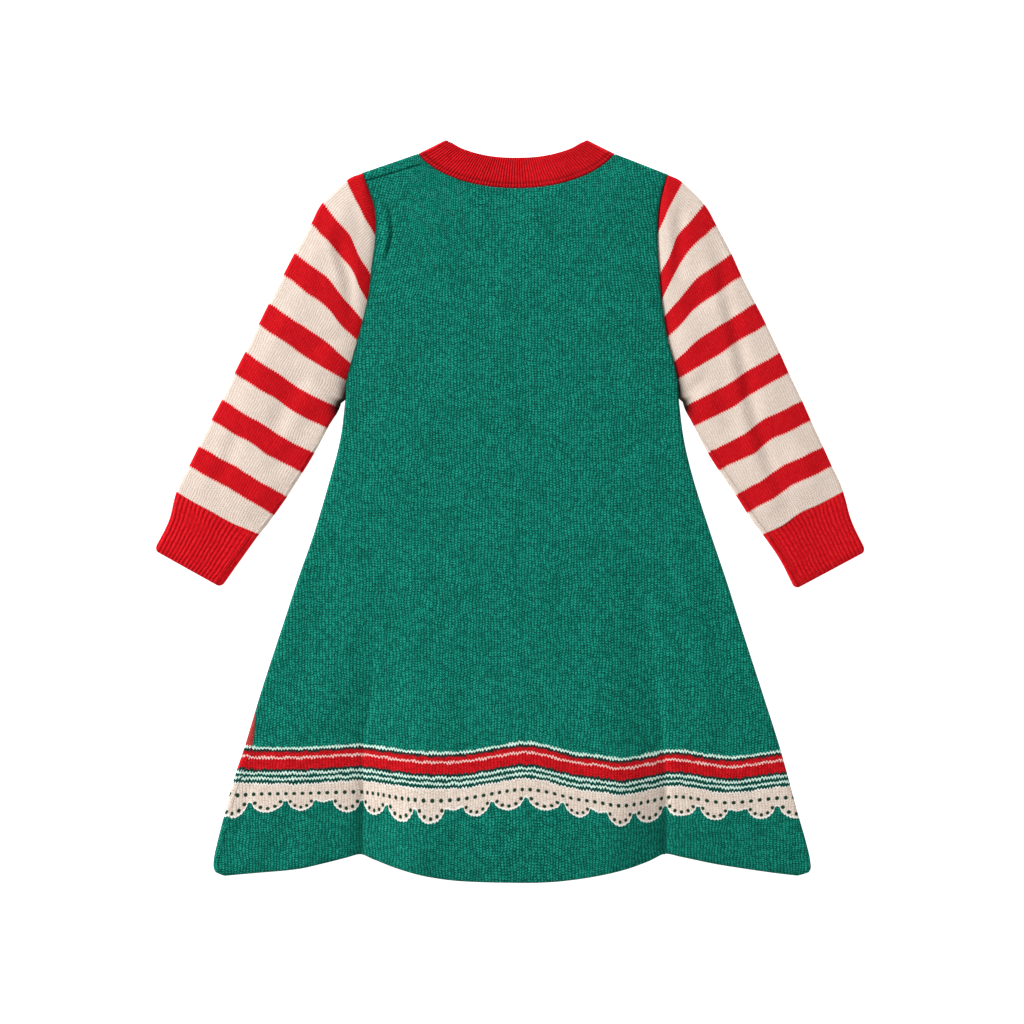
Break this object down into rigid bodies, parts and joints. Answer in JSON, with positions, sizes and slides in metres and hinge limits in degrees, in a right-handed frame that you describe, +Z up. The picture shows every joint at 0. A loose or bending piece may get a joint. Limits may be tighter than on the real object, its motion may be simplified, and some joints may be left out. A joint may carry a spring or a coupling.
{
  "type": "sweater dress",
  "caption": "Child's long-sleeved A-line knitted sweater dress with a ribbed crew collar and ribbed cuffs, laid flat with its back up.",
  "frame": {"origin": "middle of the whole garment's width and length, on the surface it lies on", "axes": "+X to the right as seen from above with the neck up, +Y towards the neck, +Z up from the surface; the garment's back faces +Z"},
  "size_m": [0.5306, 0.5569, 0.0193],
  "materials": {
    "green_knit": "fine stockinette knit",
    "striped_knit": "fine stockinette knit, striped red and cream",
    "red_rib": "ribbed knit"
  },
  "bodies": {
    "root": {"back": "green_knit", "front": "green_knit", "sleeve_left": "striped_knit", "sleeve_right": "striped_knit", "cuff_left": "red_rib", "cuff_right": "red_rib", "collar": "red_rib"}
  },
  "joints": []
}
